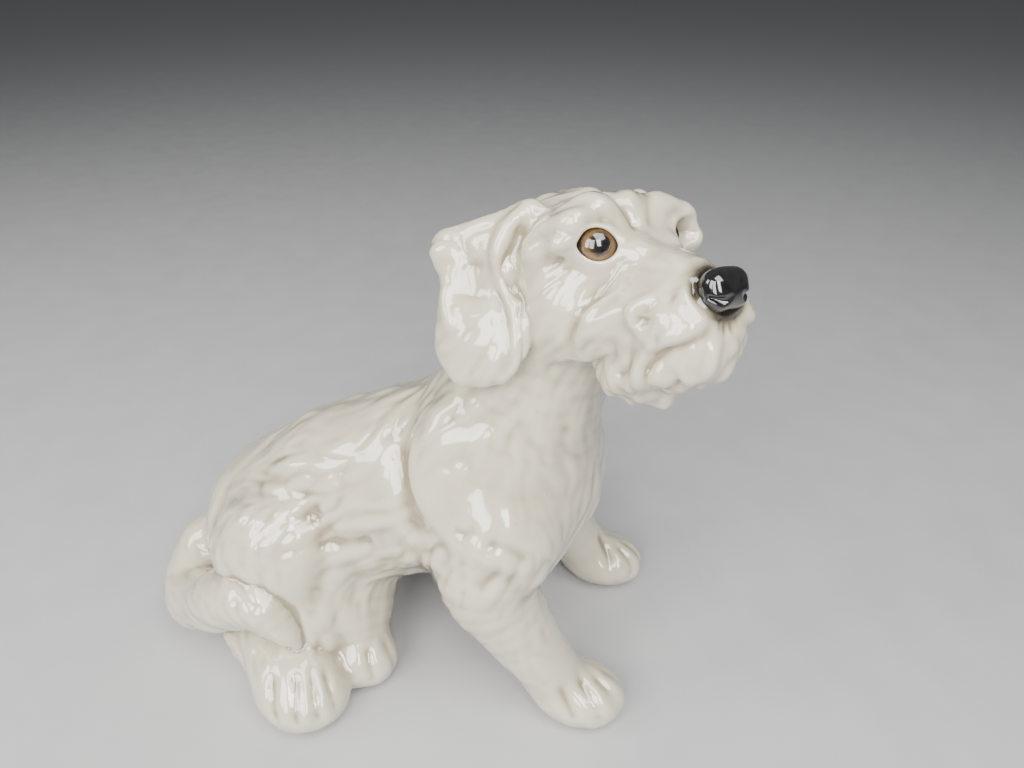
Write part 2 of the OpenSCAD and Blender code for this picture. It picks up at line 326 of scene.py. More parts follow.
def plate(at, outward, thick, long, wide):
    """A flattened ellipsoid whose broad face looks outward."""
    outward = unit(outward)
    along = unit(np.cross(outward, (0, 1, 0.3)))
    return Blob(at, (thick, long, wide), (outward, along, np.cross(outward, along)))


def torso_masses():
    """Rump, belly, ribs, chest, shoulder blades and neck. Each mass comes with its fillet."""
    yield Blob(rump, (46, 46, 50)), 10
    yield Blob(chest + (1, 80, -28), (44, 44, 50)), 20
    yield Blob(chest + (0, 40, -8), (43, 44, 48)), 20
    yield Blob(chest, (46, 45, 49)), 20
    for side in SIDES.values():
        yield plate(chest + (-side * 34, 9, 31), (-side * 0.85, -0.08, 0.52), 8, 27, 22), 8
    yield Roll([chest + (0, -2, 23), chest + (-2, -13, 55), chest + (-3, -22, 85)], (42, 33, 28)), 14


EYE_RADIUS = 8.8
PUPIL_AT = (-1.0, 0.5)  # the pupil's place on the eyeball, as Eye.on takes it


class Eye:
    """An eyeball's place and facing, in a socket with lids round an almond opening."""

    def __init__(self, side):
        self.at = H(side * 15.0, 23.2, 11.7)
        self.facing = H.way(side * 0.55, 0.83, 0.06)
        self.rear = unit(H.way(side, 0, 0) - self.facing * (H.way(side, 0, 0) @ self.facing))
        self.up = unit(H.way(0, 0, 1) - self.facing * (H.way(0, 0, 1) @ self.facing))

    def on(self, x, y, radius):
        """A point on a ball round the eye: x towards the rear corner and y up, in millimetres."""
        deep = math.sqrt(max(radius * radius - x * x - y * y, 4))
        return self.at + self.facing * deep + self.rear * x + self.up * y


class Opening:
    """The almond between the lids: where two circles overlap, carried forward from the eye."""

    HALF_WIDTH = 7.1
    TILT = 0.06  # the rear corner lies this much higher
    LID_EDGE = 10.5  # ahead of this the opening widens, so that brows don't make a tunnel of it
    FLARE = 0.6

    def __init__(self, eye, upper, lower):
        self.eye = eye
        self.arcs = []
        for tall, sign in ((upper, 1), (lower, -1)):
            radius = (self.HALF_WIDTH**2 + tall**2) / (2 * tall)
            self.arcs.append((sign * (tall - radius), radius))
        self.lo, self.hi = eye.at - 16, eye.at + 16

    def __call__(self, x, y, z):
        eye = self.eye
        x, y, z = x - eye.at[0], y - eye.at[1], z - eye.at[2]
        across = x * eye.rear[0] + y * eye.rear[1] + z * eye.rear[2]
        height = x * eye.up[0] + y * eye.up[1] + z * eye.up[2]
        ahead = x * eye.facing[0] + y * eye.facing[1] + z * eye.facing[2]
        height = height - self.TILT * across
        d = 3 - ahead
        for middle, radius in self.arcs:
            flare = self.FLARE * np.maximum(ahead - self.LID_EDGE, 0)
            d = np.maximum(d, np.sqrt(across**2 + (height - middle) ** 2) - radius - flare)
        return d


EYE = {name: Eye(side) for name, side in SIDES.items()}


def head_masses():
    """Skull, muzzle, jaw, brows, cheeks, lips, beard and lids, with the sockets cut in."""
    yield Blob(H(0, -3, 2), (31, 33, 29.3), H.axes), 10
    yield Blob(H(0, 15, 4), (26, 17, 19), H.axes), 8
    yield Roll([H(0, 18, -3), H(0, 38, -6.5), H(0, 49, -7), H(0, 57, -9.5)], (20, 17, 15, 11.5)), 8
    yield Blob(H(0, 40, -20), (20, 20, 15), H.axes), 8
    yield Blob(H(0, 50, -24), (13, 18, 10.5), H.axes), 6
    yield Blob(H(0, 33, -32), (17, 17, 11.5), H.axes), 8
    for side in SIDES.values():
        low = 0 if side > 0 else 3
        brow = ((4, 22, 22), (13, 22, 23 - low), (24, 16, 18.5 - low), (30, 9, 12))
        yield Roll(on_side(side, *brow), (5, 6.3, 6, 4.5)), 10
        yield Blob(H(side * 8, 31, 9), (5, 9, 5), H.axes), 6
        yield Blob(H(side * 22, 8, -12), (12, 18, 17), H.axes), 10
        yield Blob(H(side * 10, 53, -14), (11.5, 15.5, 12), H.axes), 6
        yield Roll(on_side(side, (18, 42, -9), (21, 32, -15), (20, 23, -20)), (5, 6, 5)), 8
    yield Roll([H(-17, 25, 21), H(-25, 26, 17.5), H(-28.5, 26, 12)], (5.2, 5.6, 5)), 6
    yield Blob(H(-26.5, 23, 8), (4.6, 5.5, 6.5), H.axes), 5
    yield Roll([H(17, 24, 23), H(24, 24, 19), H(28, 22, 14)], (4, 4.5, 4)), 6
    yield Blob(H(0, 58, -22.5), (12.5, 11.5, 8.5), H.axes), 4
    for s, f, u, out, ahead, down, thick in BEARD:
        half = H(s + out * 0.5, f + ahead * 0.4, u + down * 0.5)
        tip = H(s + out, f + ahead, u + down)
        yield Roll([H(s, f, u), half, tip], (thick, thick * 0.8, thick * 0.42)), 6.5
    for eye in EYE.values():
        yield Blob(eye.at, EYE_RADIUS + 1.3), 5
        lid = ((-6.5, 2.5), (-3, 5.6), (2, 6.3), (6.5, 3.4), (9, 0))
        yield Roll([eye.on(x, y, EYE_RADIUS + 1.0) for x, y in lid], (0.8, 1.5, 1.8, 1.5, 0.8)), 1.5
        yield Cut(Opening(eye, 5.9, 5.2)), 0.5
        yield Cut(Blob(eye.at, EYE_RADIUS + 0.12)), 0.2
    yield Cut(Blob(H(0, 64.3, -3.7), (7.1, 7.3, 6.4), H.axes)), 0.3


# locks of the beard: root (s, f, u), how far the tip lies out, ahead and below it, and the root's radius
BEARD = (
    (9, 60, -27, 1, 1, -3, 3.6), (3, 61, -28, 0, 1, -3.5, 3.8), (-3, 61, -28.5, 0, 1, -3, 3.6),
    (-9, 59, -27, -1, 1, -3, 3.6), (13, 52, -28, 1, 0, -4, 4.4), (-13, 52, -28, -1, 0, -4, 4.4),
    (6, 52, -32, 1, 0, -4, 4.2), (-5, 52, -32, -1, 0, -4, 4.2), (15, 44, -30, 2, -1, -4.5, 5.0),
    (-15, 44, -30, -2, -1, -4.5, 5.0), (3, 43, -38, 0, -1, -6, 4.6), (9, 37, -38, 1, -2, -4.5, 4.6),
    (-7, 38, -38, -1, -1, -4.5, 4.6), (16, 35, -33, 1, -3, -4, 4.6), (-16, 35, -33, -1, -3, -4, 4.6),
    (4, 28, -38, 0, -3, -4, 4.4), (-5, 29, -38, 0, -3, -4, 4.4), (11, 26, -34, 1, -3, -3, 4.4),
    (-11, 26, -34, -1, -3, -3, 4.4),
)


def ear_masses(side):
    """The ear's base, its hanging flap, two folded edges and the hollow in its face."""
    flat = H.way(side * 0.87, 0.45, 0.15)
    yield Roll(on_side(side, (27, 1, 21), (36, -12, 13), (45, -25, 12)), (8, 10.5, 9), (flat, 0.42)), 5
    yield Roll(on_side(side, (37, -12, 11), (44, -16, -5), (45, -13, -21)), (12, 13, 18), (flat, 0.34)), 4
    yield Roll(on_side(side, (28, 3, 25), (34, -1, 19), (38, -3, 9), (37, -2, 0)), (3, 3.6, 3.4, 2)), 4
    yield Roll(on_side(side, (36, -1, -4), (36, 4, -14), (37, 4, -26), (41, -2, -35)), (2, 3, 3, 2)), 3
    yield Cut(Blob(H(side * 49, -8, 2), (7, 7, 9), H.axes)), 6


def foreleg_masses(side):
    """Upper arm, forearm and paw."""
    paw = paw_fr if side > 0 else paw_fl
    shoulder = chest + (-side * 34, -6, -5)
    elbow = chest + (-side * 40.5, -2, -28)
    wrist = (elbow + paw + (0, 18, 10)) / 2 + (0, -2, -1)
    yield Roll([shoulder, elbow, wrist, paw + (side * 1, 17, 16)], (27, 22, 17, 15)), 12
    yield Blob(paw, (17, 23, 14)), 10


def hindleg_right_masses():
    """Thigh, shank, hock and paw."""
    yield Blob(rump + (-41, -14, 8), (23, 35, 40)), 12
    yield Roll([rump + (-47, -32, -16), rump + (-57, -30, -27), paw_hr + (5, 3, 4)], (17, 15, 14)), 10
    yield Roll([rump + (-50, 8, -35), rump + (-60, -8, -34), paw_hr + (5, 12, 3)], (12, 14, 16)), 8
    yield Blob(paw_hr, (19, 22, 15)), 8


def hindleg_left_masses():
    """The leg that comes out under the belly."""
    yield Roll([rump + (-13, -30, -4), rump + (-29, -42, -14), paw_hl + (7, 6, 8)], (28, 22, 15)), 12
    yield Blob(paw_hl, (15, 17, 13)), 8


# the tail's stations from the rump's middle: place and radius
TAIL = ((-3, 38, -10, 16), (-15, 52, -22, 16), (-36, 46, -31, 16.5), (-46, 28, -22, 16), (-56, 8, -4, 15),
        (-61, -11, 3, 13.5), (-66, -25, -7, 7), (-67, -31, -14, 2.5))


def tail_masses():
    """The tail, pressed a little into the thigh that it lies on."""
    line = [rump + place[:3] for place in TAIL]
    thick = np.array([place[3] for place in TAIL])
    yield Cut(Roll(line[3:], thick[3:] + 1.5)), 2
    yield Roll(line, thick), 3


PARTS = {
    "torso": torso_masses,
    "head": head_masses,
    "ear_right": lambda: ear_masses(1),
    "ear_left": lambda: ear_masses(-1),
    "foreleg_right": lambda: foreleg_masses(1),
    "foreleg_left": lambda: foreleg_masses(-1),
    "hindleg_right": hindleg_right_masses,
    "hindleg_left": hindleg_left_masses,
    "tail": tail_masses,
}
# the CAD nodes that each casting stands for
NODES_OF = {name: (name, name.replace("_", "_slip_")) for name in PARTS}
NODES_OF.update({"torso": ("torso", "neck_slip"), "head": ("head",), "tail": ("tail", "tail_slip")})

# ---- mesh helpers


def borders(quads):
    """The four edges of every face, in the face's direction."""
    return np.concatenate([quads[:, [k, (k + 1) % 4]] for k in range(4)])


def vertex_normals(points, quads):
    a, b, c, d = (points[quads[:, k]] for k in range(4))
    face = np.cross(c - a, d - b)
    n = np.zeros_like(points)
    for k in range(4):
        for axis in range(3):
            n[:, axis] += np.bincount(quads[:, k], face[:, axis], len(points))
    return n / (np.linalg.norm(n, axis=1, keepdims=True) + 1e-12)


class Net:
    """Who is joined to whom, for smoothing values over a mesh."""

    def __init__(self, quads, count):
        edges = np.unique(np.sort(borders(quads), axis=1), axis=0)
        self.a, self.b, self.count = edges[:, 0], edges[:, 1], count
        self.degree = np.bincount(self.a, minlength=count) + np.bincount(self.b, minlength=count)

    def mean(self, values):
        v = values if values.ndim == 2 else values[:, None]
        out = np.empty_like(v)
        for k in range(v.shape[1]):
            total = np.bincount(self.a, v[self.b, k], self.count)
            total = total + np.bincount(self.b, v[self.a, k], self.count)
            out[:, k] = total / np.maximum(self.degree, 1)
        return out if values.ndim == 2 else out[:, 0]

    def smooth(self, values, times, share=0.5):
        for _ in range(times):
            values = values + (self.mean(values) - values) * share
        return values


def model(lo, hi, step):
    """Joins the masses of all parts in a box of clay."""
    clay = Clay(lo, hi, step)
    for masses in PARTS.values():
        for shape, k in masses():
            if isinstance(shape, Cut):
                clay.cut(shape.shape, k)
            else:
                clay.add(shape, k)
    clay.floor(1.5)
    return clay


def settle(clay, points, net, rounds=3):
    """Evens out the skin's vertices and puts them back on the surface."""
    for _ in range(rounds):
        points = net.smooth(points, 1)
        for _ in range(2):
            g = clay.slope(points)
            points = points - (clay.at(points) / ((g * g).sum(1) + 1e-6))[:, None] * g
    return points


# ---- who owns which stretch of skin

SMALLEST_PATCH = 1500  # a stretch of fewer faces goes to the part beside it
SMALLEST_BODY = 3000  # a closed skin of fewer faces is a bubble inside the clay


def part_distances(points):
    """Each part's own distance at each point, before parts are blended together."""
    x, y, z = points.T
    table = {}
    for name, masses in PARTS.items():
        added = [shape for shape, _ in masses() if not isinstance(shape, Cut)]
        table[name] = np.min([shape(x, y, z) for shape in added], axis=0)
    above = neck_joint - z
    table["head"] = np.minimum(table["head"], np.maximum(table["torso"], above))
    table["torso"] = np.maximum(table["torso"], -above)
    return table


def shared_edges(quads):
    """Pairs of faces that share an edge, and that edge's two points."""
    edges = np.sort(borders(quads), axis=1)
    face = np.tile(np.arange(len(quads)), 4)
    key = edges[:, 0] * (quads.max() + 1) + edges[:, 1]
    order = np.argsort(key, kind="stable")
    same = key[order][1:] == key[order][:-1]
    return face[order][:-1][same], face[order][1:][same], edges[order][1:][same]


def patches(owner, a, b):
    """A number for each face, the same for faces that hang together within one part."""
    same = owner[a] == owner[b]
    a, b = a[same], b[same]
    label = np.arange(len(owner))
    while True:
        before = label.copy()
        low = np.minimum(label[a], label[b])
        np.minimum.at(label, a, low)
        np.minimum.at(label, b, low)
        label = label[label]
        if (label == before).all():
            return label


def drop_islands(owner, a, b):
    """Gives each small patch of faces to a part that it touches."""
    for _ in range(6):
        label = patches(owner, a, b)
        small = np.bincount(label, minlength=len(owner))[label] < SMALLEST_PATCH
        if not small.any():
            break
        heir = np.full(len(owner), -1)
        for near, far in ((a, b), (b, a)):
            reach = small[near] & (owner[near] != owner[far]) & ~small[far]
            heir[label[near[reach]]] = owner[far[reach]]
        owner = np.where(small & (heir[label] >= 0), heir[label], owner)
    return owner


def part_pinches(owner, quads, a, b, ends):
    """Marks points where one part's faces meet only corner to corner, and counts each part's faces there."""
    count, parts = quads.max() + 1, owner.max() + 1
    here = np.bincount(quads.ravel() * parts + np.repeat(owner, 4), minlength=count * parts)
    here = here.reshape(count, parts)
    inner = owner[a] == owner[b]
    joined = np.zeros((count, parts), int)
    for k in range(2):
        np.add.at(joined, (ends[inner, k], owner[a[inner]]), 1)
    # faces of one part in a single fan share one edge fewer than they are, or as many all round
    ring = (here > 0).sum(1) == 1
    return (here - joined > 1).any(1) & ~ring, here


def claim(points, quads, keep, lap):
    """Gives each face the part whose own surface lies nearest to it. Loose bubbles go to none.

    The parts named in keep reach a little over the others, by half of lap.
    """
    table = part_distances(points[quads].mean(1))
    owner = np.stack([d - lap * (name in keep) for name, d in table.items()]).argmin(0)
    a, b, ends = shared_edges(quads)
    whole = patches(np.zeros(len(quads), int), a, b)
    loose = np.bincount(whole, minlength=len(quads))[whole] < SMALLEST_BODY
    for _ in range(8):
        owner = drop_islands(owner, a, b)
        pinched, here = part_pinches(owner, quads, a, b, ends)
        if not pinched.any():
            break
        touched = pinched[quads]
        which = quads[np.arange(len(quads)), touched.argmax(1)]
        owner = np.where(touched.any(1), here[which].argmax(1), owner)
    owner = drop_islands(owner, a, b)
    owner[loose] = -1
    return list(table), owner


# ---- noise and the lie of the coat

rng = np.random.default_rng(7)
LATTICE = rng.uniform(-1, 1, 8192)


def noise(points, size, seed=0):
    """Smooth random values between about -1 and 1 whose humps are about size wide."""
    q = points / size + seed * 17.3
    cell = np.floor(q).astype(np.int64)
    t = q - cell
    t = t * t * t * (t * (t * 6 - 15) + 10)
    out = 0
    for a, b, c, share in corner_shares(t):
        key = (cell[:, 0] + a) * 73856093 ^ (cell[:, 1] + b) * 19349663 ^ (cell[:, 2] + c) * 83492791
        out = out + share * LATTICE[(key + seed * 977) & 8191]
    return out


def combed(points, way, size, length, seed=0):
    """Noise drawn out along way, like locks of hair."""
    steps = np.linspace(-1, 1, 11)
    weight = np.cos(steps * math.pi / 2) + 0.05
    total = sum(w * noise(points + way * (t * length / 2), size, seed) for t, w in zip(steps, weight))
    return total / weight.sum() * 2.4


def coat_guides():
    """Places on the body and the way that the coat lies there."""
    yield rump + (0, 10, 50), (0, 1, -0.6), 30
    yield rump + (0, 46, 10), (0, 0.3, -1), 30
    yield rump + (-46, -5, 20), (-0.2, 0.5, -0.8), 26
    yield rump + (46, 0, 0), (0, 0.5, -0.8), 30
    yield chest + (0, 60, 35), (0, 1, -0.35), 34
    yield chest + (-44, 50, -5), (0, 0.75, -0.65), 30
    yield chest + (44, 50, -5), (0, 0.75, -0.65), 30
    yield chest + (-44, 0, 10), (0, 0.35, -1), 26
    yield chest + (44, 0, 10), (0, 0.35, -1), 26
    yield chest + (0, -44, 0), (0.1, -0.1, -1), 26
    yield chest + (0, -35, 45), (-0.15, -0.25, -1), 22
    yield chest + (-35, -20, 45), (0.2, 0.35, -1), 22
    yield chest + (35, -20, 45), (-0.2, 0.35, -1), 22
    yield chest + (0, 18, 55), (0, 0.7, -0.7), 24
    for paw in (paw_fr, paw_fl):
        yield paw + (0, 25, 30), (0, -0.7, -0.7), 20
        yield paw + (0, 30, 60), (0, -0.2, -1), 20
    yield paw_hr + (14, 14, 10), (-0.7, -0.6, -0.2), 18
    for (x0, y0, z0, r), (x1, y1, z1, _) in zip(TAIL, TAIL[1:]):
        yield rump + (x0, y0, z0), (x1 - x0, y1 - y0, z1 - z0), r
    for side in SIDES.values():
        yield H(side * 14, 20, 26), H.way(side * 0.5, -0.8, 0.2), 12
        yield H(side * 20, -15, 26), H.way(side * 0.6, -1, -0.2), 16
        yield H(side * 26, 10, -2), H.way(side * 0.3, -1, -0.6), 12
        yield H(side * 18, 40, -12), H.way(side * 0.4, -0.5, -1), 12
        yield H(side * 8, 60, -20), H.way(side * 0.4, 0.1, -1), 10
        yield H(side * 20, 15, -28), H.way(side * 0.1, -0.6, -1), 14
    yield H(0, 40, 6), H.way(0, -1, 0.1), 12
    yield H(0, 40, -36), H.way(0, 0.2, -1), 12


def coat_way(points, normals):
    """The tangent direction in which the coat lies at each point."""
    total = np.zeros_like(points)
    for at, way, reach in coat_guides():
        far = ((points - at) ** 2).sum(1) / (2 * reach**2)
        total += (np.exp(-far) * (30 / reach) ** 2)[:, None] * unit(way)
    swirl = np.cross(normals, total)
    total = total + swirl * (0.8 * noise(points, 26, 5))[:, None]
    total -= normals * (total * normals).sum(1)[:, None]
    return total / (np.linalg.norm(total, axis=1, keepdims=True) + 1e-9)


def falloff(points, at, radius):
    """1 at a place and 0 beyond the radius, with a smooth shoulder."""
    far = np.linalg.norm(points - at, axis=1) / radius
    return np.clip(1 - far * far, 0, 1) ** 2


def smooth_patches():
    """Places that the modeller left almost smooth: centre, reach, and how much of the coat is left out."""
    yield rump + (-42, -14, 25), 34, 0.8
    yield chest + (-34, 8, 22), 34, 0.75
    yield chest + (-54, -10, -30), 34, 0.7
    yield chest + (44, -6, -5), 40, 0.6
    for paw in (paw_fr, paw_fl, paw_hr, paw_hl):
        yield paw, 36, 0.9
    for x, y, z, r in TAIL:
        yield rump + (x, y, z), r + 14, 0.6
    yield H(0, 30, 0), 44, 0.75
    for side in SIDES.values():
        yield H(side * 44, -14, -6), 34, 0.8
        yield H(side * 36, 2, -12), 26, 0.9
        yield H(side * 36, -2, 14), 22, 0.8


def coat_relief(points, normals):
    """Height of the modelled coat in millimetres."""
    way = coat_way(points, normals)
    broad = np.sqrt(combed(points, way, 7.5, 24, 1) ** 2 + 0.02)
    fine = combed(points, way, 3.2, 15, 2)
    patch = np.clip(0.75 + 0.7 * noise(points, 30, 3), 0.2, 1.2)
    for at, reach, share in smooth_patches():
        patch = patch * (1 - share * falloff(points, at, reach))
    f, u = (points - H.at) @ H.axes[1], (points - H.at) @ H.axes[2]
    beard = np.clip((-15 - u) / 8, 0, 1) * np.clip((f - 8) / 10, 0, 1) * np.clip((u + 60) / 8, 0, 1)
    curls = np.sqrt(combed(points, way, 5.5, 13, 8) ** 2 + 0.03) - 0.35
    lumps = noise(points, 17, 4) + 0.3 * noise(points, 9, 6)
    coat = patch * (1.25 * (broad - 0.35) + 0.4 * fine)
    return coat + 0.6 * lumps * (0.35 + 0.65 * patch) + beard * curls


# ---- creases and ridges


# each stroke: what it is measured from, its points, its width and its height
STROKES = (
    # grooves between the toes, from the instep to the table
    (paw_hr, ((-5, 12, 17), (-13, 8, 11), (-20, 5, 0)), 2.7, -1.6),
    (paw_hr, ((-2, 1, 18), (-12, -3, 12), (-19, -6, 0)), 2.7, -1.7),
    (paw_hr, ((1, -6, 17), (-9, -11, 10), (-15, -15, 0)), 2.7, -1.7),
    (paw_hr, ((5, -10, 15), (-3, -16, 10), (-8, -21, 0)), 2.5, -1.4),
    (paw_hl, ((-6, 5, 14), (-13, 3, 7), (-17, 2, -4)), 2.5, -1.1),
    (paw_hl, ((-3, -3, 14), (-10, -8, 8), (-14, -11, -4)), 2.5, -1.4),
    (paw_hl, ((4, -8, 12), (0, -14, 6), (-2, -17, -4)), 2.5, -1.2),
    (paw_fr, ((-7, 10, 17), (-14, 4, 9), (-19, -2, -2)), 2.9, -1.4),
    (paw_fr, ((-3, 0, 16), (-10, -7, 10), (-14, -14, -2)), 2.9, -1.7),
    (paw_fr, ((1, -5, 14), (-4, -14, 9), (-6, -21, -2)), 2.7, -1.7),
    (paw_fr, ((6, -8, 12), (5, -17, 7), (4, -22, -2)), 2.7, -1.4),
    (paw_fl, ((0, 4, 20), (-7, -3, 13), (-14, -7, 4)), 3.1, -1.9),
    (paw_fl, ((-1, -6, 15), (-7, -16, 8), (-11, -19, -3)), 2.7, -1.6),
    (paw_fl, ((4, -10, 13), (2, -19, 7), (0, -23, -3)), 2.7, -1.6),
    (paw_fl, ((9, -8, 12), (11, -16, 6), (12, -20, -3)), 2.7, -1.4),
    # folds where thigh, flank, belly, shoulder and legs meet
    (rump, ((-36, -29, 56), (-44, -38, 45), (-50, -44, 32), (-55, -42, 14), (-58, -37, 3)), 6.0, -3.6),
    (rump, ((-24, 22, 44), (-31, 24, 28), (-31, 32, 12)), 5.0, -2.0),
    (chest, ((-46, 74, -21), (-43, 60, -18), (-42, 50, -15)), 5.0, -2.6),
    (chest, ((-24, 44, 40), (-37, 35, 21), (-43, 32, 8), (-47, 28, -6)), 5.5, -2.8),
    (chest, ((-30, 26, 32), (-41, 22, 16), (-48, 18, 2)), 7.0, 1.2),
    (chest, ((-51, 8, 12), (-54, 3, 11), (-53, -3, 14)), 3.0, -1.3),
    (chest, ((-57, -5, 10), (-56, -16, 8), (-53, -27, -2)), 4.0, -1.7),
    (chest, ((-62, 2, -12), (-60, -12, -7), (-51, -25, -20)), 5.0, -2.0),
)


def body_creases():
    """The toes' grooves and the body's folds."""
    for base, places, width, height in STROKES:
        yield [base + place for place in places], width, height


# brow folds, weaker on the left: points in the head's axes, width and height
BROW_FOLDS = (
    (((9, 16, 31), (9, 25, 28), (6, 29, 23), (4, 30, 18), (5, 32, 14)), 1.9, -1.7),
    (((13, 17, 31), (14, 26, 28), (10, 31, 22), (8, 32, 16)), 3.0, 1.0),
)
# folds of both sides: round the eye, down the cheek, the nose wing, the mouth, and the ear
FACE_FOLDS = (
    (((29, 20, 17), (26, 25, 21), (21, 28, 24), (16, 30, 24)), 3.0, 0.8),
    (((26, 25, 17.5), (22, 29, 20), (16, 31, 20.5), (11, 32, 18)), 1.8, -1.2),
    (((26, 22, 9), (29, 19, 7), (33, 15, 4)), 1.5, -1.4),
    (((25, 22, 6), (19, 29, 3.5), (14, 34, 6)), 2.0, -0.9),
    (((17, 35, 2), (24, 28, -8), (28, 24, -16), (25, 20, -24)), 2.5, -1.8),
    (((19, 39, -1), (25, 32, -9), (28, 28, -17), (25, 23, -25)), 2.8, 1.5),
    (((25, 43, -16), (25, 36, -23), (22, 28, -30)), 2.4, -1.5),
    (((24, 46, -17), (24, 39, -25), (21, 32, -32)), 2.4, 1.4),
    (((23, 50, -20), (22, 44, -27), (18, 37, -34)), 2.2, -1.4),
    (((21, 54, -21), (20, 48, -29), (16, 42, -36)), 2.4, 1.2),
    (((17, 55, -3), (21, 50, -6), (23, 48, -10), (24, 50, -15), (23, 54, -18)), 2.0, 2.6),
    (((22, 56, -16), (22, 58, -11), (20, 58, -7)), 1.8, 1.2),
    (((22, 53, -9), (23, 53, -13)), 2.6, -1.6),
    (((9, 60, 1), (12.5, 62, -4), (11, 65, -10.5), (5, 67, -14.5)), 1.6, 1.8),
    (((8, 60, 0), (10, 64, -5), (8.5, 67, -10), (3, 69, -12.5)), 1.0, -0.9),
    (((14, 59, -2), (16, 60, -7), (14, 63, -13)), 1.3, -0.8),
    (((9, 68, -15), (14, 65, -18), (18, 59, -21), (19, 53, -26), (15, 46, -33)), 1.8, -2.4),
    (((11, 68, -12), (16, 63, -15), (20, 57, -18), (22, 51, -23)), 2.4, 1.3),
    (((3, 66, -26), (8, 63, -28), (12, 58, -31), (12, 50, -36)), 1.6, -1.2),
    (((31, 4, 25), (34, 3, 14), (39, -1, 5), (37, 0, 0), (34, 5, -6)), 2.2, -2.2),
    (((34, 5, -6), (38, 6, -14), (37, 7, -26), (34, -2, -37)), 2.0, -1.6),
    (((52, -26, 6), (53, -22, -6), (52, -18, -18)), 4.0, 1.0),
    (((43, -20, 18), (44, -14, 9), (42, -8, 6)), 3.0, -1.2),
    (((48, -14, 9), (48, -11, 2), (49, -9, -6)), 5.5, -2.4),
    (((50, -22, 2), (52, -20, -8), (51, -15, -18)), 3.0, 1.2),
)
# tops of the wavy lines below the lips and the cheek
WAVES = ((16, 62, -10), (19, 58, -13), (24, 44, -16), (25, 38, -18), (24, 32, -22))


def face_creases(side):
    """Brow, eye, cheek, nose and mouth folds on one side of the head."""
    strong = 1 if side > 0 else 0.4
    for places, width, height in BROW_FOLDS:
        yield on_side(side, *places), width, height * strong
    for places, width, height in FACE_FOLDS:
        yield on_side(side, *places), width, height
    for k, (s, f, u) in enumerate(WAVES):
        yield on_side(side, (s, f, u), (s + 1.5, f - 1.5, u - 6), (s + 0.5, f - 4 - k, u - 12)), 1.2, -0.9
    for s in (1.5, 4.5, 7.5, 10.5):
        top, half = (s * 0.7, 70 - s * 0.25, -11.5), (s, 69 - s * 0.35, -15)
        yield on_side(side, top, half, (s * 1.2, 68 - s * 0.4, -18)), 1.0, -0.7


def stroke(points, path, width, height):
    """A ridge, or a groove if height is negative, along a path, tapering to nothing at its ends."""
    path, _ = smooth_path(np.array(path, float), np.ones(len(path)), FINE)
    near = np.flatnonzero(((points > path.min(0) - 3 * width) & (points < path.max(0) + 3 * width)).all(1))
    p = points[near]
    best, share = np.full(len(p), 1e9), np.zeros(len(p))
    whole = len(path) - 1
    for k, (a, b) in enumerate(zip(path[:-1], path[1:])):
        t = np.clip((p - a) @ (b - a) / ((b - a) @ (b - a) + 1e-9), 0, 1)
        d = np.linalg.norm(p - a - t[:, None] * (b - a), axis=1)
        closer = d < best
        best = np.where(closer, d, best)
        share = np.where(closer, (k + t) / whole, share)
    taper = np.clip(np.minimum(share, 1 - share) * 4 + 0.25, 0, 1)
    return near, height * taper * np.exp(-(best / width) ** 2)


def crease_relief(points):
    """Height of all creases and ridges in millimetres."""
    height = np.zeros(len(points))
    strokes = list(body_creases())
    for side in SIDES.values():
        strokes += face_creases(side)
    for path, width, tall_by in strokes:
        near, rise = stroke(points, path, width, tall_by)
        height[near] += rise
    return height


# ---- pieces


THICKEST_WALL = 1.8
THINNEST_WALL = 0.25
SOFTENING = 14  # rounds of smoothing that hollows and ridges are measured against


def wall_under(clay, points, normals):
    """How far the inside lies below each point: less where the clay is thin, so that it stays covered."""
    deep = np.clip(-clay.at(points - 2 * normals), 0, 2) * 0.9
    return np.clip(np.minimum(deep, -clay.at(points - normals) * 1.6), THINNEST_WALL, THICKEST_WALL)


def smooth_piece(name, points, faces):
    """A smooth-shaded object from points in millimetres."""
    mesh = bpy.data.meshes.new(name)
    mesh.from_pydata((np.asarray(points) * MM).tolist(), [], faces)
    mesh.polygons.foreach_set("use_smooth", np.ones(len(mesh.polygons), bool))
    piece = bpy.data.objects.new(name, mesh)
    bpy.context.scene.collection.objects.link(piece)
    return piece


def shell(name, points, normals, faces, thickness, cavity):
    """A closed piece: the glazed outside, an inside a wall's thickness below it, and a rim between them."""
    used = np.unique(faces)
    new = np.full(len(points), -1)
    new[used] = np.arange(len(used))
    p, n = points[used], normals[used]
    outer = new[faces]
    edges = borders(outer)
    key = edges[:, 0].astype(np.int64) * len(used) + edges[:, 1]
    back = edges[:, 1].astype(np.int64) * len(used) + edges[:, 0]
    rim = edges[~np.isin(key, back)]
    count = len(used)
    all_points = np.concatenate([p, p - n * thickness[used][:, None]])
    inner = outer[:, ::-1] + count
    sides = np.stack([rim[:, 1], rim[:, 0], rim[:, 0] + count, rim[:, 1] + count], axis=1)
    polys = np.concatenate([outer, inner, sides]).tolist()
    piece = smooth_piece(name, all_points, polys)
    layer = piece.data.attributes.new("cavity", "FLOAT", "POINT")
    layer.data.foreach_set("value", np.concatenate([cavity[used]] * 2).astype(np.float32))
    piece.data.normals_split_custom_set_from_vertices(np.concatenate([n, -n]).tolist())
    return piece


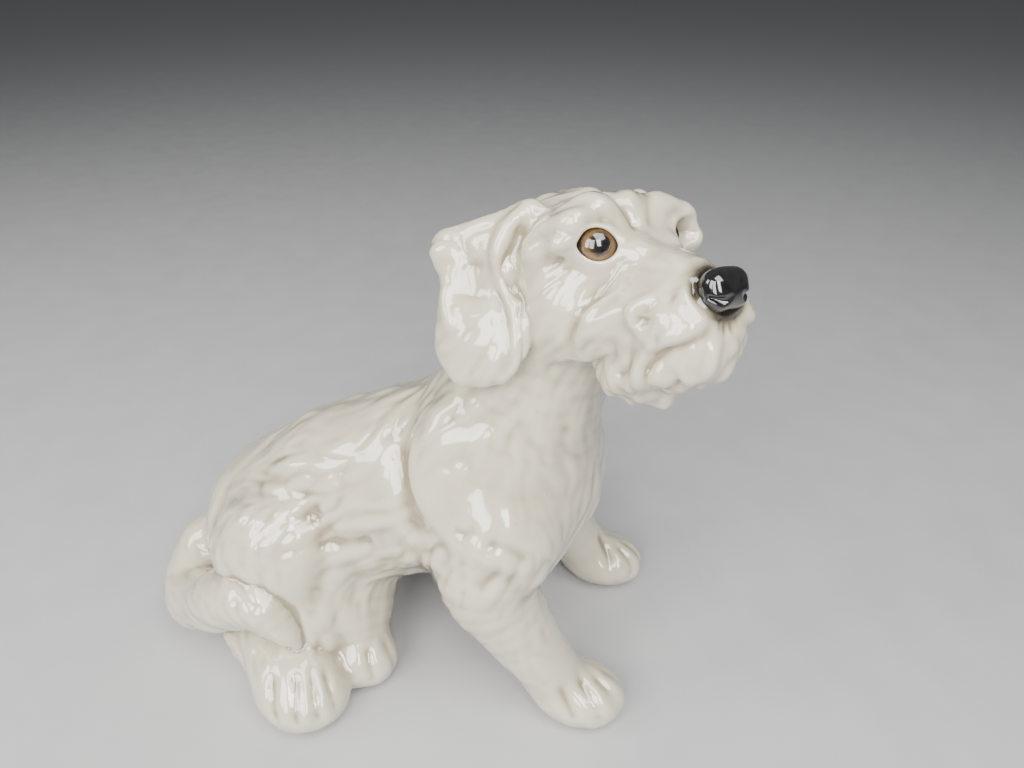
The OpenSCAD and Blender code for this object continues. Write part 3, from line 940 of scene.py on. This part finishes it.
def sculpt(lo, hi, step, keep, lap=0.0):
    """Models everything in a box at one fineness, and returns the pieces of it that are named in keep."""
    clay = model(lo, hi, step)
    points, quads = skin(clay)
    net = Net(quads, len(points))
    points = settle(clay, points, net)
    names, owner = claim(points, quads, keep, lap)
    normals = vertex_normals(points, quads)
    wall = wall_under(clay, points, normals)
    height = net.smooth(coat_relief(points, normals), 1) + crease_relief(points)
    for eye in EYE.values():
        height *= 1 - falloff(points, eye.at, EYE_RADIUS + 5) ** 0.3
    raised = points + normals * height[:, None]
    raised[:, 2] = np.maximum(raised[:, 2], 0)
    normals = vertex_normals(raised, quads)
    normals = net.smooth(normals, 1, 0.4)
    normals /= np.linalg.norm(normals, axis=1, keepdims=True)
    # how deep each point lies in a hollow; the glaze's colour darkens with it, partly as pooled glaze and
    # partly as painted shade
    soft = net.smooth(raised, SOFTENING)
    cavity = ((raised - soft) * normals).sum(1)
    pieces = {}
    for k, name in enumerate(names):
        if name in keep:
            faces = quads[owner == k]
            pieces[name] = shell(name + "_casting", raised, normals, faces, wall, cavity)
    return pieces


lowest, highest = (np.array(corner) / MM for corner in cad_box)
head_parts = ("head", "ear_left", "ear_right")
head_lo = np.min([spot(n, 0, 0, 0) for n in head_parts], axis=0) - 7
head_hi = np.max([spot(n, 1, 1, 1) for n in head_parts], axis=0) + 7
castings = sculpt(lowest - 6, highest + 6, BODY_STEP, [n for n in PARTS if n not in head_parts])
castings.update(sculpt(head_lo, head_hi, HEAD_STEP, head_parts, lap=3.0))

# ---- materials


def new_material(name):
    """A material, its nodes and its main shader."""
    material = bpy.data.materials.new(name)
    material.use_nodes = True
    tree = material.node_tree
    return material, tree, tree.nodes["Principled BSDF"]


def node(tree, kind, inputs=None, **settings):
    """A new node, with its inputs set to values or joined to other nodes' outputs."""
    made = tree.nodes.new("ShaderNode" + kind)
    for key, value in settings.items():
        setattr(made, key, value)
    for key, value in (inputs or {}).items():
        if isinstance(value, bpy.types.NodeSocket):
            tree.links.new(value, made.inputs[key])
        else:
            made.inputs[key].default_value = value
    return made


def ramp(tree, fac, stops):
    """A colour that changes with fac. Each stop is a place and a colour."""
    made = node(tree, "ValToRGB", {"Fac": fac})
    line = made.color_ramp
    while len(line.elements) < len(stops):
        line.elements.new(0.5)
    for element, (place, colour) in zip(line.elements, stops):
        element.position = place
        element.color = (*colour, 1)
    return made.outputs["Color"]


def clouds(tree, scale, detail):
    """Soft noise fixed to the figure."""
    place = node(tree, "TexCoord").outputs["Object"]
    made = node(tree, "TexNoise", {"Vector": place, "Scale": scale, "Detail": detail})
    return made.outputs["Fac"]


def finish(tree, shader, value, low, high):
    """Roughness between low and high, as value says."""
    rough = node(tree, "MapRange", {"Value": value, "To Min": low, "To Max": high})
    tree.links.new(rough.outputs["Result"], shader.inputs["Roughness"])


def relief(tree, shader, height, strength, distance):
    """Fine bumps as height says."""
    bump = node(tree, "Bump", {"Height": height, "Strength": strength, "Distance": distance})
    tree.links.new(bump.outputs["Normal"], shader.inputs["Normal"])


def multiplied(tree, base, tint, share):
    """base times tint, as far as share says."""
    mixed = node(tree, "Mix", data_type="RGBA", blend_type="MULTIPLY")
    tree.links.new(base, mixed.inputs["A"])
    tree.links.new(tint, mixed.inputs["B"])
    mixed.inputs["Factor"].default_value = share
    return mixed.outputs["Result"]


def times_plus(tree, value, times, plus):
    """value times a constant, plus a constant."""
    made = node(tree, "Math", {0: value, 1: times, 2: plus}, operation="MULTIPLY_ADD")
    return made.outputs["Value"]


def glaze():
    """Cream-white glaze: it is darker in hollows, partly as glaze pooled thicker there and partly as painted
    shade in the creases, has pinholes, and is sprayed black round the nose.
    """
    material, tree, shader = new_material("glaze")
    place = node(tree, "TexCoord").outputs["Object"]
    hollow = node(tree, "Attribute", attribute_name="cavity").outputs["Fac"]
    # darker and warmer the deeper a hollow lies: partly glaze pooled thicker there, partly painted shade in
    # creases and between parts
    pooled_glaze_and_shade = node(tree, "MapRange", {"Value": hollow, "From Min": -0.45, "From Max": 0.35})
    base = ramp(tree, pooled_glaze_and_shade.outputs["Result"], [
        (0.0, (0.28, 0.235, 0.155)),
        (0.40, (0.47, 0.42, 0.31)),
        (0.70, (0.56, 0.51, 0.39)),
        (1.0, (0.58, 0.53, 0.41)),
    ])
    cloud = clouds(tree, 28, 3)
    tint = ramp(tree, cloud, [(0.3, (0.955, 0.955, 0.95)), (0.7, (1.0, 0.995, 0.985))])
    colour = multiplied(tree, base, tint, 1)
    away = from_centre(tree, H(0, 64, -4.5), 15.2)
    puff = times_plus(tree, cloud, 0.25, -0.125)
    edge = node(tree, "Math", {0: away, 1: puff}, operation="ADD").outputs["Value"]
    sprayed = ramp(tree, edge, [
        (0.58, (0.02, 0.018, 0.018)),
        (0.66, (0.12, 0.11, 0.10)),
        (0.78, (0.62, 0.60, 0.56)),
        (0.92, (1, 1, 1)),
    ])
    colour = multiplied(tree, colour, sprayed, 1)
    speck = node(tree, "TexVoronoi", {"Vector": place, "Scale": 95}).outputs["Distance"]
    dots = ramp(tree, speck, [(0.025, (0.35, 0.29, 0.2)), (0.05, (1, 1, 1))])
    tree.links.new(multiplied(tree, colour, dots, 0.5), shader.inputs["Base Color"])
    finish(tree, shader, clouds(tree, 160, 2), 0.09, 0.17)
    relief(tree, shader, clouds(tree, 120, 2), 0.12, 0.0006)
    shader.inputs["IOR"].default_value = 1.56
    shader.inputs["Coat Weight"].default_value = 1.0
    shader.inputs["Coat Roughness"].default_value = 0.03
    shader.inputs["Subsurface Weight"].default_value = 0.12
    shader.inputs["Subsurface Radius"].default_value = (1.0, 0.8, 0.5)
    shader.inputs["Subsurface Scale"].default_value = 0.003
    return material


def ball(name, at, radius, facing, reach):
    """Part of a ball: everything within reach radians of facing, closed behind."""
    rows, columns = 36, 72
    side = unit(np.cross(facing, (0.1, 0.2, 1)))
    other = np.cross(facing, side)
    points = [at + facing * radius]
    for i in range(1, rows + 1):
        a = reach * i / rows
        for j in range(columns):
            b = 2 * math.pi * j / columns
            out = side * math.cos(b) + other * math.sin(b)
            points.append(at + radius * (facing * math.cos(a) + out * math.sin(a)))
    points.append(at + facing * radius * math.cos(reach) * 0.9)
    faces = [(0, 1 + j, 1 + (j + 1) % columns) for j in range(columns)]
    for i in range(rows - 1):
        for j in range(columns):
            k = 1 + i * columns
            faces.append((k + j, k + columns + j, k + columns + (j + 1) % columns, k + (j + 1) % columns))
    k = 1 + (rows - 1) * columns
    faces += [(k + (j + 1) % columns, k + j, len(points) - 1) for j in range(columns)]
    return smooth_piece(name, points, faces)


def from_centre(tree, at, radius):
    """0 at a place and 1 at the radius from it, for a shader."""
    place = node(tree, "TexCoord").outputs["Object"]
    far = node(tree, "VectorMath", {0: place, 1: tuple(at * MM)}, operation="DISTANCE")
    inputs = {0: far.outputs["Value"], 1: 1 / (radius * MM)}
    return node(tree, "Math", inputs, operation="MULTIPLY").outputs["Value"]


def wet_surface(tree, shader, scale, low, high):
    """Small changes in gloss and height, so that a painted surface isn't perfect."""
    cloud = clouds(tree, scale, 3)
    finish(tree, shader, cloud, low, high)
    relief(tree, shader, cloud, 0.15, 0.0003)
    shader.inputs["Coat Weight"].default_value = 1.0
    shader.inputs["Coat Roughness"].default_value = 0.02
    return cloud


def iris(name, eye):
    """Amber paint with darker clouds, a dark outline and a soft dark middle."""
    material, tree, shader = new_material(name)
    middle_of_iris = eye.on(*PUPIL_AT, EYE_RADIUS)
    away = from_centre(tree, middle_of_iris, 8.0)
    cloud = wet_surface(tree, shader, 900, 0.05, 0.12)
    ring = times_plus(tree, cloud, 0.16, -0.08)
    uneven = node(tree, "Math", {0: away, 1: ring}, operation="ADD").outputs["Value"]
    colour = ramp(tree, uneven, [
        (0.0, (0.004, 0.003, 0.003)),
        (0.36, (0.008, 0.006, 0.005)),
        (0.48, (0.05, 0.028, 0.013)),
        (0.62, (0.15, 0.088, 0.038)),
        (0.78, (0.13, 0.072, 0.03)),
        (0.90, (0.012, 0.009, 0.007)),
    ])
    tree.links.new(colour, shader.inputs["Base Color"])
    return material


def black_glaze(name, scale):
    """Black paint under a clear glaze."""
    material, tree, shader = new_material(name)
    cloud = wet_surface(tree, shader, scale, 0.08, 0.16)
    colour = ramp(tree, cloud, [(0.3, (0.004, 0.004, 0.005)), (0.7, (0.012, 0.011, 0.011))])
    tree.links.new(colour, shader.inputs["Base Color"])
    return material


glaze_material = glaze()
for name, piece in castings.items():
    piece.data.materials.append(glaze_material)
    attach(piece, "root")
    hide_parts(*NODES_OF[name])

for side, eye in EYE.items():
    piece = ball("eyeball_" + side, eye.at, EYE_RADIUS, eye.facing, 2.0)
    piece.data.materials.append(iris("iris_" + side, eye))
    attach(piece, "root")
    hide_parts("eye_" + side)
    facing = unit(eye.on(*PUPIL_AT, EYE_RADIUS) - eye.at)
    piece = ball("pupil_dot_" + side, eye.at, EYE_RADIUS + 0.05, facing, 0.32)
    piece.data.materials.append(black_glaze("pupil_" + side, 700))
    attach(piece, "root")
    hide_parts("pupil_" + side)


def nose_leather():
    """The nose: a rounded block with two comma-shaped nostrils and a groove below."""
    lo = np.array(H(0, 64, -4)) - 16
    clay = Clay(lo, lo + 32, NOSE_STEP)
    clay.add(Blob(H(0, 65, -3.6), (7.6, 7.8, 6.8), H.axes), 0)
    clay.add(Roll([H(-4.4, 67, -0.8), H(4.4, 67, -0.8)], 4.6), 3)
    for side in SIDES.values():
        clay.add(Blob(H(side * 4.6, 66.5, -5.2), (4.2, 5.4, 4.4), H.axes), 2.5)
        nostril = on_side(side, (3.4, 73.6, -4.8), (5.2, 72.2, -5.8), (8.2, 68.6, -4.4))
        clay.cut(Roll(nostril, (1.4, 1.5, 0.5)), 0.9)
    clay.cut(Roll([H(0, 74.6, -4), H(0, 73.0, -9), H(0, 70.0, -12)], (0.5, 0.8, 0.8)), 1.0)
    points, quads = skin(clay)
    net = Net(quads, len(points))
    return smooth_piece("nose_leather", settle(clay, points, net), quads.tolist())


piece = nose_leather()
piece.data.materials.append(black_glaze("nose_black", 260))
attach(piece, "root")
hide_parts("nose")

# ---- stage, light and camera

middle = (lowest + highest) / 2
tall = highest[2] - lowest[2]


def floor_plane():
    """A plain pale table top."""
    mesh = bpy.data.meshes.new("table_top")
    wide = 60 * tall * MM
    corners = [(-wide, -wide, 0), (wide, -wide, 0), (wide, wide, 0), (-wide, wide, 0)]
    mesh.from_pydata(corners, [], [(0, 1, 2, 3)])
    top = bpy.data.objects.new("table_top", mesh)
    bpy.context.scene.collection.objects.link(top)
    material, tree, shader = new_material("table")
    cloud = clouds(tree, 30, 4)
    colour = ramp(tree, cloud, [(0.3, (0.40, 0.40, 0.405)), (0.7, (0.43, 0.43, 0.43))])
    tree.links.new(colour, shader.inputs["Base Color"])
    finish(tree, shader, cloud, 0.32, 0.42)
    mesh.materials.append(material)


def softbox(name, azimuth, elevation, distance, width, height, power, colour):
    """A rectangular light aimed at the figure. Azimuth 0 stands on the -Y side."""
    a, e = math.radians(azimuth), math.radians(elevation)
    way = np.array((math.sin(a) * math.cos(e), -math.cos(a) * math.cos(e), math.sin(e)))
    data = bpy.data.lights.new(name, "AREA")
    data.shape = "RECTANGLE"
    data.size, data.size_y = width, height
    data.energy = power
    data.color = colour
    lamp = bpy.data.objects.new(name, data)
    lamp.location = middle * MM + way * distance
    lamp.rotation_euler = Vector(-way).to_track_quat("-Z", "Y").to_euler()
    bpy.context.scene.collection.objects.link(lamp)


def studio():
    """Four window-like panes on the figure's right, a softer light above, and a dim room."""
    daylight = (1.0, 0.99, 0.97)
    softbox("window_pane_1", -58, 36, 1.2, 0.32, 0.52, 9, daylight)
    softbox("window_pane_2", -93, 31, 1.2, 0.38, 0.80, 12, daylight)
    softbox("window_pane_3", -117, 33, 1.2, 0.38, 0.80, 12, daylight)
    softbox("window_pane_4", -155, 32, 1.2, 0.40, 0.52, 7, daylight)
    softbox("skylight", -40, 62, 1.1, 0.7, 0.7, 15, (0.985, 0.99, 1.0))
    world = bpy.data.worlds.new("room")
    bpy.context.scene.world = world
    world.use_nodes = True
    background = world.node_tree.nodes["Background"]
    background.inputs["Color"].default_value = (0.70, 0.73, 0.77, 1)
    background.inputs["Strength"].default_value = 0.15


def photographer():
    """The camera, where the photographer stood."""
    data = bpy.data.cameras.new("camera")
    data.sensor_width = 36
    data.lens = 26
    data.clip_start = 0.01
    data.clip_end = 50
    camera = bpy.data.objects.new("camera", data)
    turn, tilt = math.radians(-77), math.radians(32.26)
    camera.location = (middle + (-253.3, -112.7, 206.6)) * MM
    camera.rotation_euler = (math.pi / 2 - tilt, 0, turn)
    bpy.context.scene.collection.objects.link(camera)
    bpy.context.scene.camera = camera


floor_plane()
studio()
photographer()
